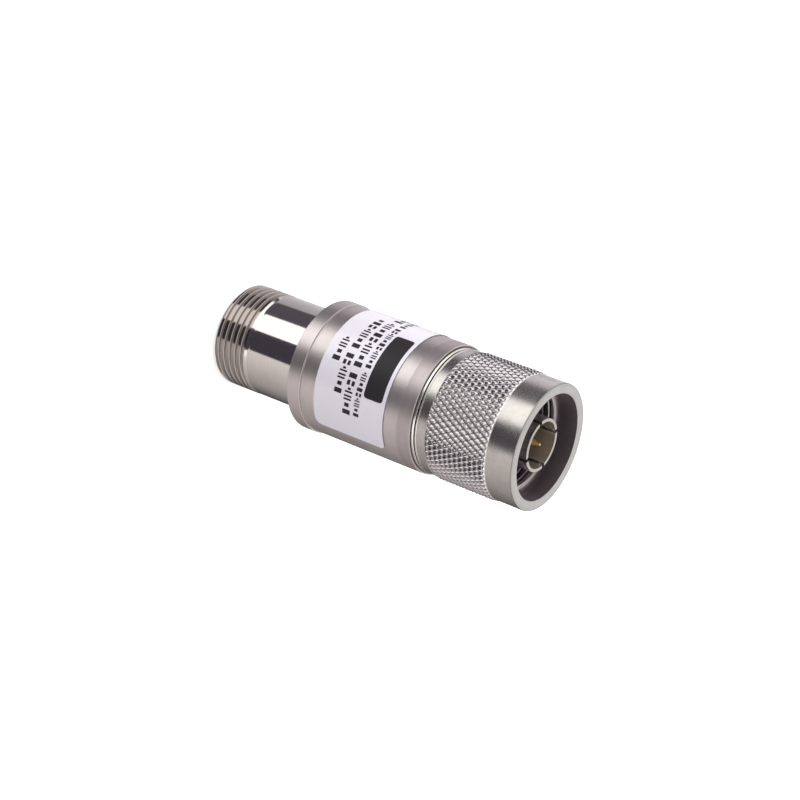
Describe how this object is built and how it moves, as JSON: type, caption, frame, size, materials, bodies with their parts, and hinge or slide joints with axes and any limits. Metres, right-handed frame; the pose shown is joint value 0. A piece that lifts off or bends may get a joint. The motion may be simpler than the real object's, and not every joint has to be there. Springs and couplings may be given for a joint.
{
  "type": "coaxial attenuator",
  "caption": "Slim nickel-plated coaxial attenuator: a threaded socket jack at one end and a pin plug with a freely turning diamond-knurled coupling nut at the other.",
  "frame": {"origin": "centre of the jack's flat end ring, which the part stands on", "axes": "+Z along the connector axis from the jack to the plug; -Y faces the side that carries the label; +X is the side where the label starts"},
  "size_m": [0.0202, 0.0202, 0.0554],
  "materials": {
    "bright_nickel": "polished nickel plate on brass",
    "satin_nickel": "satin nickel plate on brass, turned",
    "nut_nickel": "nickel plate on brass, polished rims and a diamond knurl",
    "contact_gold": "gold plate on spring bronze",
    "contact_nickel": "bright plate on spring bronze",
    "sleeve_brass": "plain turned brass",
    "spring_bronze": "rolled spring bronze",
    "cap_silver": "silver plate",
    "insulator": "white fluoropolymer, matt",
    "resistor": "dark resistive film on ceramic",
    "seal_rubber": "black rubber",
    "label_film": "white coated label"
  },
  "bodies": {
    "attenuator_body": {"housing": "satin_nickel", "label": "label_film", "jack_shell": "bright_nickel", "jack_o_ring": "seal_rubber", "jack_insulator": "insulator", "jack_center_contact": "contact_gold", "jack_line_sleeve": "sleeve_brass", "jack_series_resistor": "resistor", "jack_resistor_cap_lower": "cap_silver", "jack_resistor_cap_upper": "cap_silver", "junction_hub": "contact_gold", "shunt_disc_resistor": "resistor", "plug_series_resistor": "resistor", "plug_resistor_cap_lower": "cap_silver", "plug_resistor_cap_upper": "cap_silver", "plug_line_sleeve": "sleeve_brass", "wave_spring": "spring_bronze", "plug_shell": "satin_nickel", "plug_o_ring": "seal_rubber", "plug_insulator": "insulator", "plug_center_pin": "contact_gold", "plug_outer_contact": "contact_nickel", "plug_gasket": "seal_rubber", "retaining_ring": "spring_bronze"},
    "nut": {"coupling_nut": "nut_nickel"}
  },
  "joints": [
    {"name": "nut_spin", "type": "hinge", "parent": "attenuator_body", "child": "nut", "pos_m": [0, 0, 0.03905], "axis": [0, 0, 1], "continuous": true}
  ]
}
